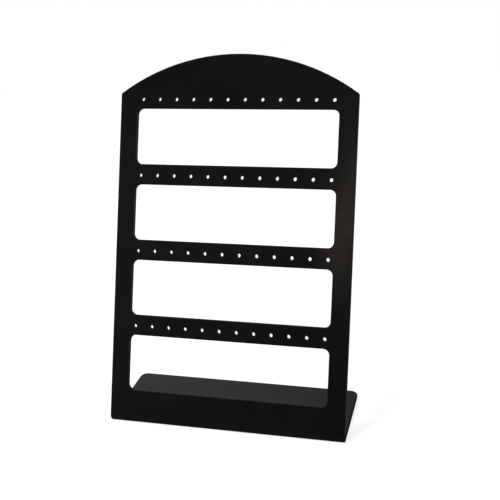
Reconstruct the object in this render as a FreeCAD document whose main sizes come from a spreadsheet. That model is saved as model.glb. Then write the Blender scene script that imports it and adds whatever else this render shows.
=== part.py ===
import FreeCAD, Part
import math
import os
import Sketcher
from FreeCAD import Vector

# Arched earring display stand in millimetres. One plastic sheet is folded once
# across its width: a flat foot runs back along the floor, and a panel with rows
# of small holes and open windows leans back over it.
# +Z is up and the front faces -Y. The foot's underside lies on Z = 0 and the middle
# of the width is X = 0. The sketches start from the front of the fold, and the whole
# stand is then moved forward, so that the middle of its depth is Y = 0.

# Driving sizes. Panel lengths run up its front face from the end of the fold.
SIZES = {
    "sheet_width": 160.6,
    "sheet_thickness": 3.0,
    "fold_inner_radius": 1.0,
    "lean_angle": 21.0,             # panel, back from upright, in degrees
    "foot_depth": 61.5,             # from the front of the fold to the foot's back edge
    "foot_corner_radius": 5.0,
    "row_count": 4,                 # rows, each a window with a line of holes above it
    "window_start": 18.3,           # lower edge of the lowest window
    "window_height": 37.1,
    "rail_height": 13.65,           # strip of panel between two windows
    "window_corner_radius": 4.0,
    "stile_width": 12.3,            # strip of panel beside the windows
    "hole_rise": 6.2,               # hole centres above the window below them
    "hole_inset": 3.375,            # end holes of a line, in from the sides of the windows
    "hole_count": 12,
    "hole_diameter": 2.5,
    "shoulder_rise": 3.85,          # panel's straight sides above the top row of holes
    "shoulder_radius": 2.0,
    "arch_rise": 25.8,              # top of the arch above its shoulders
    "edge_bevel": 0.45,             # scraped arris along every cut edge
    "cut_overrun": 1.0,             # how far a cut runs on past the back face
}

# Sizes that follow from the driving ones.
DERIVED = {
    "fold_outer_radius": "fold_inner_radius + sheet_thickness",
    "window_half_width": "sheet_width / 2 - stile_width",
    "end_hole": "window_half_width - hole_inset",
    "hole_pitch": "2 * end_hole / (hole_count - 1)",
    "hole_start": "window_start + window_height + hole_rise",
    "row_pitch": "window_height + rail_height",
    "shoulder_length": "hole_start + (row_count - 1) * row_pitch + shoulder_rise",
    "arch_radius": "(sheet_width ^ 2 / 4 + arch_rise ^ 2) / (2 * arch_rise)",
    "panel_length": "shoulder_length + arch_rise",
    "fold_setback": "fold_outer_radius * (1 - cos(lean_angle * 1 deg))",
    "fold_height": "fold_outer_radius * (1 + sin(lean_angle * 1 deg))",
    "top_setback": "fold_setback + panel_length * sin(lean_angle * 1 deg)",
    "stand_depth": "top_setback + sheet_thickness * cos(lean_angle * 1 deg)",
    "cut_depth": "sheet_thickness + cut_overrun",
}

# Point numbers of a sketch line or arc, and the sketch's own horizontal axis.
START, END, CENTRE = 1, 2, 3
AXIS = -1
ORIGIN = (AXIS, START)


def size_sheet(doc):
    sheet = doc.addObject("Spreadsheet::Sheet", "sizes")
    cells = {**SIZES, **{name: f"={formula}" for name, formula in DERIVED.items()}}
    for row, (name, content) in enumerate(cells.items(), start=1):
        sheet.set(f"A{row}", name)
        sheet.setAlias(f"B{row}", name)
        sheet.set(f"B{row}", str(content))
    doc.recompute()
    return sheet


def new_sketch(body, name, role):
    sketch = body.newObject("Sketcher::SketchObject", name)
    plane = next(feature for feature in body.Origin.OriginFeatures if feature.Role == role)
    sketch.AttachmentSupport = [(plane, "")]
    sketch.MapMode = "FlatFace"
    return sketch


# A sketch on the panel's front face: X runs across it, Y runs up it, and the
# origin is at the end of the fold.
def panel_sketch(body, name):
    sketch = new_sketch(body, name, "XZ_Plane")
    sketch.AttachmentOffset = FreeCAD.Placement(Vector(), FreeCAD.Rotation(Vector(1, 0, 0), -1))
    sketch.setExpression("AttachmentOffset.Rotation.Angle", "-sizes.lean_angle")
    sketch.setExpression("AttachmentOffset.Base.y", "sizes.fold_height")
    sketch.setExpression("AttachmentOffset.Base.z", "-sizes.fold_setback")
    return sketch


def rule(sketch, *constraint):
    return sketch.addConstraint(Sketcher.Constraint(*constraint))


# Adds a measured constraint that follows a formula of the sheet's sizes.
def measure(sketch, name, formula, *constraint):
    index = rule(sketch, *constraint)
    sketch.renameConstraint(index, name)
    sketch.setExpression(f"Constraints.{name}", formula)


# Joins points into a closed run of lines, each starting where the last one ends.
def closed_lines(sketch, points):
    lines = []
    for first, second in zip(points, points[1:] + points[:1]):
        lines.append(sketch.addGeometry(Part.LineSegment(first, second)))
    for line, following in zip(lines, lines[1:] + lines[:1]):
        rule(sketch, "Coincident", line, END, following, START)
    return lines


# The foot in plan view, padded up by the sheet's thickness.
def foot(body, sheet):
    sketch = new_sketch(body, "foot_outline", "XY_Plane")
    half_width = sheet.sheet_width / 2
    front = sheet.fold_outer_radius
    back = sheet.foot_depth
    front_line, right_side, back_edge, left_side = closed_lines(sketch, [
        Vector(-half_width, front, 0),
        Vector(half_width, front, 0),
        Vector(half_width, back, 0),
        Vector(-half_width, back, 0),
    ])
    rule(sketch, "Horizontal", front_line)
    rule(sketch, "Vertical", right_side)
    rule(sketch, "Horizontal", back_edge)
    rule(sketch, "Vertical", left_side)
    measure(sketch, "half_width", "sizes.sheet_width / 2", "DistanceX", *ORIGIN,
            front_line, END, half_width)
    measure(sketch, "width", "sizes.sheet_width", "DistanceX", front_line, START,
            front_line, END, sheet.sheet_width)
    measure(sketch, "fold_end", "sizes.fold_outer_radius", "DistanceY", *ORIGIN,
            front_line, END, front)
    measure(sketch, "depth", "sizes.foot_depth", "DistanceY", *ORIGIN, right_side, END, back)
    pad = body.newObject("PartDesign::Pad", "foot")
    pad.Profile = sketch
    pad.setExpression("Length", "sizes.sheet_thickness")


# The fold from the side: a ring sector from under the foot to the leaning panel.
def fold(body, sheet):
    sketch = new_sketch(body, "fold_side_view", "YZ_Plane")
    outer = sheet.fold_outer_radius
    inner = sheet.fold_inner_radius
    centre = Vector(outer, outer, 0)
    down = Vector(0, -1, 0)
    panel_end = math.pi - math.radians(sheet.lean_angle)
    foot_end = math.pi * 1.5
    outward = Vector(math.cos(panel_end), math.sin(panel_end), 0)
    outer_circle = Part.Circle(centre, Vector(0, 0, 1), outer)
    inner_circle = Part.Circle(centre, Vector(0, 0, 1), inner)
    outer_arc = sketch.addGeometry(Part.ArcOfCircle(outer_circle, panel_end, foot_end))
    inner_arc = sketch.addGeometry(Part.ArcOfCircle(inner_circle, panel_end, foot_end))
    panel_line = sketch.addGeometry(
        Part.LineSegment(centre + outward * inner, centre + outward * outer)
    )
    foot_line = sketch.addGeometry(Part.LineSegment(centre + down * inner, centre + down * outer))
    rule(sketch, "Coincident", outer_arc, CENTRE, inner_arc, CENTRE)
    for line, arc_end in ((panel_line, START), (foot_line, END)):
        rule(sketch, "Coincident", line, START, inner_arc, arc_end)
        rule(sketch, "Coincident", line, END, outer_arc, arc_end)
    rule(sketch, "Vertical", foot_line)
    rule(sketch, "PointOnObject", outer_arc, CENTRE, foot_line)
    rule(sketch, "PointOnObject", outer_arc, CENTRE, panel_line)
    measure(sketch, "lean", "180 deg - sizes.lean_angle * 1 deg", "Angle", panel_line, panel_end)
    measure(sketch, "outer_radius", "sizes.fold_outer_radius", "Radius", outer_arc, outer)
    measure(sketch, "inner_radius", "sizes.fold_inner_radius", "Radius", inner_arc, inner)
    measure(sketch, "behind_front", "sizes.fold_outer_radius", "DistanceX", *ORIGIN,
            outer_arc, CENTRE, outer)
    measure(sketch, "above_floor", "sizes.fold_outer_radius", "DistanceY", *ORIGIN,
            outer_arc, CENTRE, outer)
    pad = body.newObject("PartDesign::Pad", "fold")
    pad.Profile = sketch
    pad.SideType = "Symmetric"
    pad.setExpression("Length", "sizes.sheet_width")


# The panel's outline with its arched top, padded back from the front face.
def panel(body, sheet):
    sketch = panel_sketch(body, "panel_outline")
    half_width = sheet.sheet_width / 2
    shoulder = sheet.shoulder_length
    radius = sheet.arch_radius
    bottom = sketch.addGeometry(Part.LineSegment(Vector(-half_width, 0, 0), Vector(half_width, 0, 0)))
    right_side = sketch.addGeometry(
        Part.LineSegment(Vector(half_width, 0, 0), Vector(half_width, shoulder, 0))
    )
    left_side = sketch.addGeometry(
        Part.LineSegment(Vector(-half_width, shoulder, 0), Vector(-half_width, 0, 0))
    )
    arch_circle = Part.Circle(
        Vector(0, shoulder + sheet.arch_rise - radius, 0), Vector(0, 0, 1), radius
    )
    half_angle = math.asin(half_width / radius)
    arch = sketch.addGeometry(
        Part.ArcOfCircle(arch_circle, math.pi / 2 - half_angle, math.pi / 2 + half_angle)
    )
    for first, second in ((bottom, right_side), (right_side, arch), (arch, left_side),
                          (left_side, bottom)):
        rule(sketch, "Coincident", first, END, second, START)
    rule(sketch, "Symmetric", bottom, START, bottom, END, *ORIGIN)
    rule(sketch, "Horizontal", bottom)
    rule(sketch, "Vertical", right_side)
    rule(sketch, "Vertical", left_side)
    rule(sketch, "Equal", left_side, right_side)
    measure(sketch, "width", "sizes.sheet_width", "DistanceX", bottom, START, bottom, END,
            sheet.sheet_width)
    measure(sketch, "shoulder", "sizes.shoulder_length", "DistanceY", right_side, START,
            right_side, END, shoulder)
    measure(sketch, "arch_radius", "sizes.arch_radius", "Radius", arch, radius)
    pad = body.newObject("PartDesign::Pad", "panel")
    pad.Profile = sketch
    pad.Reversed = True
    pad.setExpression("Length", "sizes.sheet_thickness")


# Cuts what a panel sketch encloses, from the front face out through the back.
def cut_through(body, name, sketch):
    pocket = body.newObject("PartDesign::Pocket", name)
    pocket.Profile = sketch
    pocket.setExpression("Length", "sizes.cut_depth")
    return pocket


# A pattern along one axis of a panel sketch, with its spacing and count from the sizes.
def panel_pattern(body, name, sketch, axis, spacing, count):
    pattern = body.newObject("PartDesign::LinearPattern", name)
    pattern.Direction = (sketch, [axis])
    pattern.Mode = "Spacing"
    pattern.setExpression("Offset", f"sizes.{spacing}")
    pattern.setExpression("Occurrences", f"sizes.{count}")
    return pattern


# The lowest window: a rectangle with rounded corners, cut and repeated up the rows.
def windows(body, sheet):
    sketch = panel_sketch(body, "window_outline")
    radius = sheet.window_corner_radius
    half_width = sheet.window_half_width
    height = sheet.window_height
    middle = Vector(0, sheet.window_start + height / 2, 0)
    sides = []
    corners = []
    for turn, along, out in ((0, half_width, height / 2), (1, height / 2, half_width),
                             (2, half_width, height / 2), (3, height / 2, half_width)):
        angle = turn * math.pi / 2
        forward = Vector(math.cos(angle), math.sin(angle), 0)
        outward = Vector(math.sin(angle), -math.cos(angle), 0)
        edge = middle + outward * out
        start = edge - forward * (along - radius)
        end = edge + forward * (along - radius)
        circle = Part.Circle(end - outward * radius, Vector(0, 0, 1), radius)
        sides.append(sketch.addGeometry(Part.LineSegment(start, end)))
        corners.append(sketch.addGeometry(
            Part.ArcOfCircle(circle, angle - math.pi / 2, angle)
        ))
    for corner, side, following in zip(corners, sides, sides[1:] + sides[:1]):
        rule(sketch, "Tangent", side, END, corner, START)
        rule(sketch, "Tangent", corner, END, following, START)
    for corner in corners[1:]:
        rule(sketch, "Equal", corners[0], corner)
    bottom, right, top, left = sides
    rule(sketch, "Horizontal", bottom)
    rule(sketch, "Horizontal", top)
    rule(sketch, "Vertical", left)
    rule(sketch, "Vertical", right)
    measure(sketch, "corner_radius", "sizes.window_corner_radius", "Radius", corners[0], radius)
    measure(sketch, "half_width", "sizes.window_half_width", "DistanceX", *ORIGIN,
            right, START, half_width)
    measure(sketch, "width", "2 * sizes.window_half_width", "DistanceX", left, START,
            right, START, 2 * half_width)
    measure(sketch, "start", "sizes.window_start", "DistanceY", *ORIGIN, bottom, START,
            sheet.window_start)
    measure(sketch, "height", "sizes.window_height", "DistanceY", bottom, START, top, START, height)
    cut = cut_through(body, "lowest_window", sketch)
    pattern = panel_pattern(body, "windows", sketch, "V_Axis", "row_pitch", "row_count")
    pattern.Originals = [cut]
    body.Tip = pattern


# The lowest hole at the left, cut and repeated across the panel and up the rows.
def holes(body, sheet):
    sketch = panel_sketch(body, "hole_outline")
    radius = sheet.hole_diameter / 2
    centre = Vector(-sheet.end_hole, sheet.hole_start, 0)
    circle = sketch.addGeometry(Part.Circle(centre, Vector(0, 0, 1), radius))
    measure(sketch, "diameter", "sizes.hole_diameter", "Diameter", circle, sheet.hole_diameter)
    measure(sketch, "left_of_middle", "sizes.end_hole", "DistanceX", circle, CENTRE, *ORIGIN,
            sheet.end_hole)
    measure(sketch, "start", "sizes.hole_start", "DistanceY", *ORIGIN, circle, CENTRE,
            sheet.hole_start)
    cut = cut_through(body, "lowest_left_hole", sketch)
    across = panel_pattern(body, "holes_in_a_row", sketch, "H_Axis", "hole_pitch", "hole_count")
    up = panel_pattern(body, "rows_of_holes", sketch, "V_Axis", "row_pitch", "row_count")
    pattern = body.newObject("PartDesign::MultiTransform", "holes")
    pattern.Originals = [cut]
    pattern.Transformations = [across, up]
    body.Tip = pattern


# A fillet or chamfer on the edges of the solid so far for which chosen(shape, edge) is true.
def dress_edges(body, kind, name, chosen):
    body.Document.recompute()
    base = body.Tip
    edges = [
        f"Edge{number}"
        for number, edge in enumerate(base.Shape.Edges, start=1)
        if chosen(base.Shape, edge)
    ]
    dressing = body.newObject(kind, name)
    dressing.Base = (base, edges)
    return dressing


def round_edges(body, name, radius, chosen):
    fillet = dress_edges(body, "PartDesign::Fillet", name, chosen)
    fillet.setExpression("Radius", f"sizes.{radius}")


def bevel_edges(body, name, width, chosen):
    chamfer = dress_edges(body, "PartDesign::Chamfer", name, chosen)
    chamfer.setExpression("Size", f"sizes.{width}")


def direction(edge):
    return (edge.Vertexes[-1].Point - edge.Vertexes[0].Point).normalize()


# An edge that runs straight up through the foot's thickness.
def is_foot_corner(shape, edge):
    return isinstance(edge.Curve, Part.Line) and abs(direction(edge).z) > 0.999


# An edge through the panel's thickness, at the end of one of its sides.
def is_shoulder(shape, edge):
    straight = isinstance(edge.Curve, Part.Line)
    on_side = math.isclose(abs(edge.BoundBox.XMin), shape.BoundBox.XMax, abs_tol=1e-6)
    above_foot = edge.BoundBox.ZMin > shape.BoundBox.ZMax / 2
    through = edge.Length < shape.BoundBox.XMax / 2
    return straight and on_side and above_foot and through


# An edge where two faces meet at an angle, and not smoothly as beside the fold.
def is_sharp(shape, edge):
    middle = edge.valueAt((edge.FirstParameter + edge.LastParameter) / 2)
    first, second = (
        face.normalAt(*face.Surface.parameter(middle))
        for face in shape.ancestorsOfType(edge, Part.Face)
    )
    return abs(first.dot(second)) < 0.5


def display_stand(doc, sheet):
    body = doc.addObject("PartDesign::Body", "display_stand")
    body.Label = "display_stand"
    foot(body, sheet)
    fold(body, sheet)
    panel(body, sheet)
    round_edges(body, "foot_corners", "foot_corner_radius", is_foot_corner)
    round_edges(body, "shoulders", "shoulder_radius", is_shoulder)
    windows(body, sheet)
    bevel_edges(body, "scraped_edges", "edge_bevel", is_sharp)
    holes(body, sheet)
    body.setExpression("Placement.Base.y", "-sizes.stand_depth / 2")
    doc.recompute()
    return body


def check(doc, bodies):
    for item in doc.Objects:
        if "Invalid" in item.State or "Error" in item.State:
            raise RuntimeError(f"{item.Name} did not build")
    for body in bodies:
        if body.Shape.isNull() or not body.Shape.isValid() or len(body.Shape.Solids) != 1:
            raise RuntimeError(f"{body.Label} is not one valid solid")


def write_parts(bodies):
    os.makedirs("parts", exist_ok=True)
    for body in bodies:
        body.Shape.exportStep(f"parts/{body.Label}.step")
        box = body.Shape.BoundBox
        print(f"{body.Label}: {box.XLength:.2f} x {box.YLength:.2f} x {box.ZLength:.2f} mm, "
              f"{body.Shape.Volume / 1000:.2f} cm3")


doc = FreeCAD.newDocument("earring_display_stand")
bodies = [display_stand(doc, size_sheet(doc))]
check(doc, bodies)
write_parts(bodies)
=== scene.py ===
import math
import bpy
from mathutils import Matrix, Vector


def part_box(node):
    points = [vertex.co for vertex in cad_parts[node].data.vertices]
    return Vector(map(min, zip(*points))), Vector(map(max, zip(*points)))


# Arched earring display stand, folded from one sheet of glossy black plastic.
# Metres; the foot lies on Z = 0, the front faces -Y and X = 0 is the middle.
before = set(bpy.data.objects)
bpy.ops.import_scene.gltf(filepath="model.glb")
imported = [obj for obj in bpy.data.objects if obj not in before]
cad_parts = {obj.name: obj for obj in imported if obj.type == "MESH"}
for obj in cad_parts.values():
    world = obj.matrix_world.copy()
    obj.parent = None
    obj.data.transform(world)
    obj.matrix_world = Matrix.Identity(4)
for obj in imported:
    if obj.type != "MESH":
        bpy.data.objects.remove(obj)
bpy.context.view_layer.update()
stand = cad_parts["display_stand"]

# How the sheet lies, for the finish that follows it.
LEAN = math.radians(21)
THICKNESS = 0.003
FOLD_RADIUS = 0.004
PANEL_UP = Vector((0, math.sin(LEAN), math.cos(LEAN)))
FOLD_START = THICKNESS + 0.0005
FOLD_TOP = FOLD_RADIUS * (1 + math.sin(LEAN))
FOLD_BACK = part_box("display_stand")[0][1] + FOLD_RADIUS
FOOT_EDGE_START = (FOLD_BACK, FOLD_BACK + 0.002)
HALF_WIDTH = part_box("display_stand")[1][0]

# Finish of the plastic. A scale counts the cells of a pattern per metre, a depth is in
# metres, and a band is the part of a pattern over which its effect comes in.
PLASTIC_IOR = 1.49
BLACK = (0.0048, 0.0047, 0.0046)
BLACK_SCALE = 28
BLACK_BAND = (0.3, 0.7)
BLACK_SHARES = (0.88, 1.12)
POLISHED_ROUGHNESS = 0.045
WAVE_SCALE = 22
WAVE_DEPTH = 0.0002

SMUDGE_SCALE = 42
SMUDGE_BAND = (0.46, 0.72)
SMUDGE_ROUGHNESS = 0.03

RUB_TURNS_AND_PATCH_SCALES = ((12, 30), (-64, 24), (83, 36))
RUB_LINE_SCALES = (45, 2600, 1)
RUB_LINE_BAND = (0.68, 0.74)
RUB_PATCH_BAND = (0.5, 0.62)
RUB_ROUGHNESS = 0.12
RUB_DEPTH = 0.000002

CUT_BAND = (0.35, 0.6)
SAW_SCALE = 1400
SAW_BAND = (0.3, 0.7)
SAW_DEPTH = 0.00001
SATIN_ROUGHNESS = (0.18, 0.32)

DUST_COLOUR = (0.07, 0.067, 0.062, 1)
DUST_ROUGHNESS = 0.7
DUST_SCALE = 420
DUST_SIZE_SCALE = 130
DUST_SIZE_BAND = (0.5, 0.8)
DUST_REACH = (0.0, 0.13)
DUST_FACING_UP = (0.3, 0.95)
DUST_SHARES = (0.1, 0.7)

# The floor. Its lit share takes the stand's shadow, and its glow makes up the rest of white.
FLOOR_RADIUS = 1.2
FLOOR_SIDES = 96
FLOOR_LIT = (0.25, 0.25, 0.25, 1)
FLOOR_GLOW = 0.86

# The floor that the plastic mirrors: lighter towards the back left, darker near the stand as
# painted shade, and with a faint painted glow strip along each side of the foot.
MIRRORED_SLANT = -0.5
MIRRORED_BAND = (0.03, 0.33)
MIRRORED_TONES = (0.08, 0.17)
STRIP_SIDE = (HALF_WIDTH - 0.0013, HALF_WIDTH + 0.0027)
STRIP_FRONT = (-0.06, -0.04)
STRIP_BACK = (0.03, 0.1)
STRIP_GLOW = 0.06

# The room that the plastic mirrors. Directions point from the stand to the light, and the
# middle and the spread of a patch go across and up.
WHITE = (1, 1, 1, 1)
ROOM_GREY = (0.8, 0.8, 0.8, 1)
WALL_SLOPE = (-0.28, 0, 0.173)
WALL_BAND = (0.037, 0.177)
WALL_TONES = (0.03, 0.135)
DARK_PATCH = {"middle": (-0.37, 0.5), "spread": (0.1, 0.05), "strength": -0.08}
BACK_LIGHT = {"direction": (-0.45, 0.7, 0.55), "tightness": 9, "strength": 0.39}
TOP_LIGHT = {"direction": (0, 0, 1), "tightness": 6, "strength": 0.4}
SIDE_LIGHT = {"direction": (0.86, -0.48, 0.15), "tightness": 12, "strength": 0.95}
LOW_LIGHT = {"direction": (0.2, 0.98, 0.02), "tightness": 80, "strength": 0.3}
WARM = (1.0, 0.82, 0.62, 1)
WARM_PATCH_LOW = {"middle": (-0.157, 0.338), "spread": (0.008, 0.034), "strength": 0.44}
WARM_PATCH_HIGH = {"middle": (-0.1405, 0.371), "spread": (0.007, 0.048), "strength": 0.46}

# The one lamp, to the front left of the stand.
SOFTBOX_PLACE = Vector((-1.5, -1.5, 2.7))
SOFTBOX_TARGET = Vector((0, 0, 0.1))
SOFTBOX_WIDTH = 1.3
SOFTBOX_POWER = 136.0

# Camera, from the photograph's perspective. Its lens and sensor are in millimetres.
TURN = math.radians(15.77)
RISE = math.radians(22.07)
ROLL = math.radians(-3.33)
DISTANCE = 0.545
AIM = Vector((0.01953, -0.02515, 0.1233))
FOCAL_LENGTH = 63.08
SENSOR = 36


def node(tree, kind, **settings):
    made = tree.nodes.new(kind)
    for name, value in settings.items():
        setattr(made, name, value)
    return made


def feed(tree, socket, source):
    if isinstance(source, bpy.types.NodeSocket):
        tree.links.new(source, socket)
    else:
        socket.default_value = source


def math_node(tree, operation, first, second=0.0):
    made = node(tree, "ShaderNodeMath", operation=operation)
    feed(tree, made.inputs[0], first)
    feed(tree, made.inputs[1], second)
    return made.outputs["Value"]


def times(tree, first, second):
    return math_node(tree, "MULTIPLY", first, second)


def plus(tree, first, second):
    return math_node(tree, "ADD", first, second)


def total(tree, parts):
    result = parts[0]
    for part in parts[1:]:
        result = plus(tree, result, part)
    return result


def largest(tree, parts):
    result = parts[0]
    for part in parts[1:]:
        result = math_node(tree, "MAXIMUM", result, part)
    return result


def absolute(tree, value):
    return math_node(tree, "ABSOLUTE", value)


def opposite(tree, value):
    return math_node(tree, "SUBTRACT", 1.0, value)


def dot(tree, vector, direction):
    made = node(tree, "ShaderNodeVectorMath", operation="DOT_PRODUCT")
    feed(tree, made.inputs[0], vector)
    feed(tree, made.inputs[1], direction)
    return made.outputs["Value"]


def separate(tree, vector):
    made = node(tree, "ShaderNodeSeparateXYZ")
    feed(tree, made.inputs["Vector"], vector)
    return made.outputs


def combine(tree, x, y, z=0.0):
    made = node(tree, "ShaderNodeCombineXYZ")
    for socket, source in zip(made.inputs, (x, y, z)):
        feed(tree, socket, source)
    return made.outputs["Vector"]


# From the first to the second of the ends as the value crosses the band.
def ramp(tree, value, band, ends=(0.0, 1.0)):
    made = node(tree, "ShaderNodeMapRange", interpolation_type="SMOOTHSTEP")
    feed(tree, made.inputs["Value"], value)
    made.inputs["From Min"].default_value, made.inputs["From Max"].default_value = band
    made.inputs["To Min"].default_value, made.inputs["To Max"].default_value = ends
    return made.outputs["Result"]


def blend(tree, share, first, second, kind="FLOAT"):
    made = node(tree, "ShaderNodeMix", data_type=kind)
    sockets = [socket for socket in made.inputs if socket.enabled]
    for socket, source in zip(sockets, (share, first, second)):
        feed(tree, socket, source)
    return next(socket for socket in made.outputs if socket.enabled)


def noise(tree, vector, scale, detail=1.0, roughness=0.5):
    made = node(tree, "ShaderNodeTexNoise")
    feed(tree, made.inputs["Vector"], vector)
    made.inputs["Scale"].default_value = scale
    made.inputs["Detail"].default_value = detail
    made.inputs["Roughness"].default_value = roughness
    return made.outputs["Fac"]


def turned(tree, vector, degrees, scales):
    made = node(tree, "ShaderNodeMapping")
    feed(tree, made.inputs["Vector"], vector)
    made.inputs["Rotation"].default_value = (0, 0, math.radians(degrees))
    made.inputs["Scale"].default_value = scales
    return made.outputs["Vector"]


def bump(tree, height, depth, below=None):
    made = node(tree, "ShaderNodeBump")
    made.inputs["Distance"].default_value = depth
    feed(tree, made.inputs["Height"], height)
    if below is not None:
        feed(tree, made.inputs["Normal"], below)
    return made.outputs["Normal"]


def shining(tree, kind, colour, strength):
    made = node(tree, kind)
    feed(tree, made.inputs["Color"], colour)
    feed(tree, made.inputs["Strength"], strength)
    return made.outputs[0]


def matt(tree, colour):
    made = node(tree, "ShaderNodeBsdfDiffuse")
    feed(tree, made.inputs["Color"], colour)
    return made.outputs["BSDF"]


def added(tree, first, second):
    made = node(tree, "ShaderNodeAddShader")
    feed(tree, made.inputs[0], first)
    feed(tree, made.inputs[1], second)
    return made.outputs["Shader"]


# One surface for the camera, and another for the plastic to mirror.
def seen_or_mirrored(tree, seen, mirrored):
    rays = node(tree, "ShaderNodeLightPath")
    made = node(tree, "ShaderNodeMixShader")
    feed(tree, made.inputs["Fac"], rays.outputs["Is Camera Ray"])
    feed(tree, made.inputs[1], mirrored)
    feed(tree, made.inputs[2], seen)
    return made.outputs["Shader"]


# Place on the flat sheet before it was folded: X across it, Y along it. Also 1 on the panel
# and 0 on the foot.
def sheet_place(tree, place):
    x, y, z = separate(tree, place)
    on_panel = ramp(tree, z, (FOLD_START, FOLD_TOP))
    along = blend(tree, on_panel, y, dot(tree, place, PANEL_UP))
    return combine(tree, x, along), on_panel


# 1 on the cut edges of the sheet, the windows and the holes, and 0 on its two faces.
def cut_edges(tree, place, normal, on_panel):
    across, back, _ = separate(tree, normal)
    panel_edge = times(tree, on_panel, absolute(tree, dot(tree, normal, PANEL_UP)))
    behind_fold = ramp(tree, separate(tree, place)["Y"], FOOT_EDGE_START)
    foot_edge = times(tree, opposite(tree, on_panel), times(tree, behind_fold, back))
    return ramp(tree, largest(tree, [absolute(tree, across), panel_edge, foot_edge]), CUT_BAND)


# Long thin rubbing marks at an angle across the sheet, in a few patches only.
def hairlines(tree, flat, degrees, patch_scale):
    line = noise(tree, turned(tree, flat, degrees, RUB_LINE_SCALES), 1.0)
    patch = ramp(tree, noise(tree, flat, patch_scale), RUB_PATCH_BAND)
    return times(tree, ramp(tree, line, RUB_LINE_BAND), patch)


# Tiny specks of dust, most of them on what faces up.
def dust(tree, place, normal):
    cells = node(tree, "ShaderNodeTexVoronoi")
    feed(tree, cells.inputs["Vector"], place)
    cells.inputs["Scale"].default_value = DUST_SCALE
    reach = ramp(tree, noise(tree, place, DUST_SIZE_SCALE), DUST_SIZE_BAND, DUST_REACH)
    speck = math_node(tree, "LESS_THAN", cells.outputs["Distance"], reach)
    up = separate(tree, normal)["Z"]
    return times(tree, speck, ramp(tree, up, DUST_FACING_UP, DUST_SHARES))


def black_plastic():
    material = bpy.data.materials.new("gloss_black_plastic")
    material.use_nodes = True
    tree = material.node_tree
    shader = tree.nodes["Principled BSDF"]
    shader.inputs["IOR"].default_value = PLASTIC_IOR
    place = node(tree, "ShaderNodeTexCoord").outputs["Object"]
    normal = node(tree, "ShaderNodeNewGeometry").outputs["Normal"]
    flat, on_panel = sheet_place(tree, place)
    cut = cut_edges(tree, place, normal, on_panel)
    specks = dust(tree, place, normal)

    smears = noise(tree, flat, SMUDGE_SCALE, detail=3.0, roughness=0.6)
    smudges = ramp(tree, smears, SMUDGE_BAND)
    lines = largest(tree, [hairlines(tree, flat, degrees, patch_scale)
                           for degrees, patch_scale in RUB_TURNS_AND_PATCH_SCALES])
    polished = total(tree, [times(tree, smudges, SMUDGE_ROUGHNESS),
                            times(tree, lines, RUB_ROUGHNESS), POLISHED_ROUGHNESS])
    saw_marks = noise(tree, flat, SAW_SCALE, detail=2.0, roughness=0.6)
    satin = ramp(tree, saw_marks, SAW_BAND, SATIN_ROUGHNESS)
    roughness = blend(tree, cut, polished, satin)
    feed(tree, shader.inputs["Roughness"], blend(tree, specks, roughness, DUST_ROUGHNESS))

    black = node(tree, "ShaderNodeVectorMath", operation="SCALE")
    feed(tree, black.inputs[0], BLACK)
    patches = noise(tree, flat, BLACK_SCALE, detail=2.0)
    feed(tree, black.inputs["Scale"], ramp(tree, patches, BLACK_BAND, BLACK_SHARES))
    dusted = blend(tree, specks, black.outputs["Vector"], DUST_COLOUR, "RGBA")
    feed(tree, shader.inputs["Base Color"], dusted)

    relief = bump(tree, noise(tree, place, WAVE_SCALE), WAVE_DEPTH)
    rubbed = times(tree, lines, opposite(tree, cut))
    relief = bump(tree, opposite(tree, rubbed), RUB_DEPTH, relief)
    relief = bump(tree, times(tree, saw_marks, cut), SAW_DEPTH, relief)
    feed(tree, shader.inputs["Normal"], relief)
    return material


# A white floor for the camera, which keeps the stand's soft shadow. The plastic mirrors a
# dimmer one, as the glossy sheet in the photograph does.
def pale_floor():
    material = bpy.data.materials.new("pale_floor")
    material.use_nodes = True
    tree = material.node_tree
    tree.nodes.clear()
    seen = added(tree, matt(tree, FLOOR_LIT),
                 shining(tree, "ShaderNodeEmission", WHITE, FLOOR_GLOW))

    x, y, _ = separate(tree, node(tree, "ShaderNodeTexCoord").outputs["Object"])
    behind_left = plus(tree, times(tree, x, MIRRORED_SLANT), y)
    # Painted shade: the mirrored floor is darker near the stand and lighter towards the back
    # left.
    painted_shade_tone = ramp(tree, behind_left, MIRRORED_BAND, MIRRORED_TONES)
    # Painted glow: a faint glowing strip along each side of the foot stands in for bounced
    # light.
    beside = ramp(tree, absolute(tree, x), STRIP_SIDE)
    along = times(tree, ramp(tree, y, STRIP_FRONT), opposite(tree, ramp(tree, y, STRIP_BACK)))
    painted_glow_strip = times(tree, times(tree, beside, along), STRIP_GLOW)
    mirrored = added(tree, matt(tree, combine(tree, painted_shade_tone, painted_shade_tone, painted_shade_tone)),
                     shining(tree, "ShaderNodeEmission", WHITE, painted_glow_strip))

    output = node(tree, "ShaderNodeOutputMaterial")
    feed(tree, output.inputs["Surface"], seen_or_mirrored(tree, seen, mirrored))
    return material


def studio_floor():
    bpy.ops.object.select_all(action="DESELECT")
    bpy.ops.mesh.primitive_circle_add(
        vertices=FLOOR_SIDES, radius=FLOOR_RADIUS, fill_type="NGON")
    floor = bpy.context.object
    floor.name = "floor"
    floor.data.materials.append(pale_floor())


# Soft light that is strongest in one direction.
def soft_light(tree, toward, direction, tightness, strength):
    facing = dot(tree, toward, Vector(direction).normalized())
    lit = math_node(tree, "POWER", math_node(tree, "MAXIMUM", facing, 0.0), tightness)
    return times(tree, lit, strength)


# A patch in front of the stand that fades out from its middle.
def soft_patch(tree, toward, middle, spread, strength):
    x, y, z = separate(tree, toward)
    across = math_node(tree, "DIVIDE", math_node(tree, "SUBTRACT", x, middle[0]), spread[0])
    up = math_node(tree, "DIVIDE", math_node(tree, "SUBTRACT", z, middle[1]), spread[1])
    off = plus(tree, times(tree, across, across), times(tree, up, up))
    fall = math_node(tree, "EXPONENT", times(tree, off, -0.5))
    in_front = math_node(tree, "LESS_THAN", y, 0.0)
    return times(tree, times(tree, fall, in_front), strength)


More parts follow.
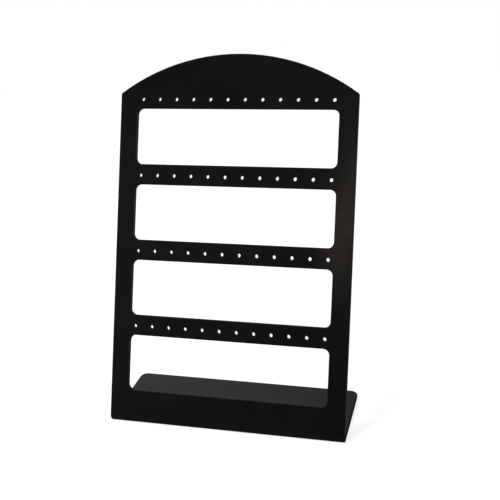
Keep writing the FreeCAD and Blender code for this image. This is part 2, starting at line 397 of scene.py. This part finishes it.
# White for the camera, and a dim soft room for the plastic to mirror.
def studio_world():
    world = bpy.data.worlds.new("studio")
    bpy.context.scene.world = world
    world.use_nodes = True
    tree = world.node_tree
    tree.nodes.clear()
    toward = node(tree, "ShaderNodeTexCoord").outputs["Generated"]
    grey = total(tree, [ramp(tree, dot(tree, toward, WALL_SLOPE), WALL_BAND, WALL_TONES),
                        soft_patch(tree, toward, **DARK_PATCH)]
                 + [soft_light(tree, toward, **light)
                    for light in (BACK_LIGHT, TOP_LIGHT, SIDE_LIGHT, LOW_LIGHT)])
    warm = total(tree, [soft_patch(tree, toward, **patch)
                        for patch in (WARM_PATCH_LOW, WARM_PATCH_HIGH)])
    never_negative = math_node(tree, "MAXIMUM", grey, 0.0)
    room = added(tree, shining(tree, "ShaderNodeBackground", ROOM_GREY, never_negative),
                 shining(tree, "ShaderNodeBackground", WARM, warm))
    white = shining(tree, "ShaderNodeBackground", WHITE, 1.0)
    output = node(tree, "ShaderNodeOutputWorld")
    feed(tree, output.inputs["Surface"], seen_or_mirrored(tree, white, room))


def key_softbox():
    data = bpy.data.lights.new("key_softbox", "AREA")
    data.shape = "SQUARE"
    data.size = SOFTBOX_WIDTH
    data.energy = SOFTBOX_POWER
    lamp = bpy.data.objects.new("key_softbox", data)
    bpy.context.collection.objects.link(lamp)
    lamp.location = SOFTBOX_PLACE
    lamp.rotation_euler = (SOFTBOX_TARGET - SOFTBOX_PLACE).to_track_quat("-Z", "Y").to_euler()


def camera():
    data = bpy.data.cameras.new("camera")
    data.lens = FOCAL_LENGTH
    data.sensor_width = SENSOR
    made = bpy.data.objects.new("camera", data)
    bpy.context.collection.objects.link(made)
    turn = (Matrix.Rotation(TURN, 4, "Z") @ Matrix.Rotation(math.pi / 2 - RISE, 4, "X")
            @ Matrix.Rotation(ROLL, 4, "Z"))
    back = turn.to_3x3() @ Vector((0, 0, 1))
    made.matrix_world = Matrix.Translation(AIM + back * DISTANCE) @ turn
    bpy.context.scene.camera = made


stand.material_slots[0].material = black_plastic()
studio_floor()
studio_world()
key_softbox()
camera()
bpy.context.scene.view_settings.view_transform = "Standard"
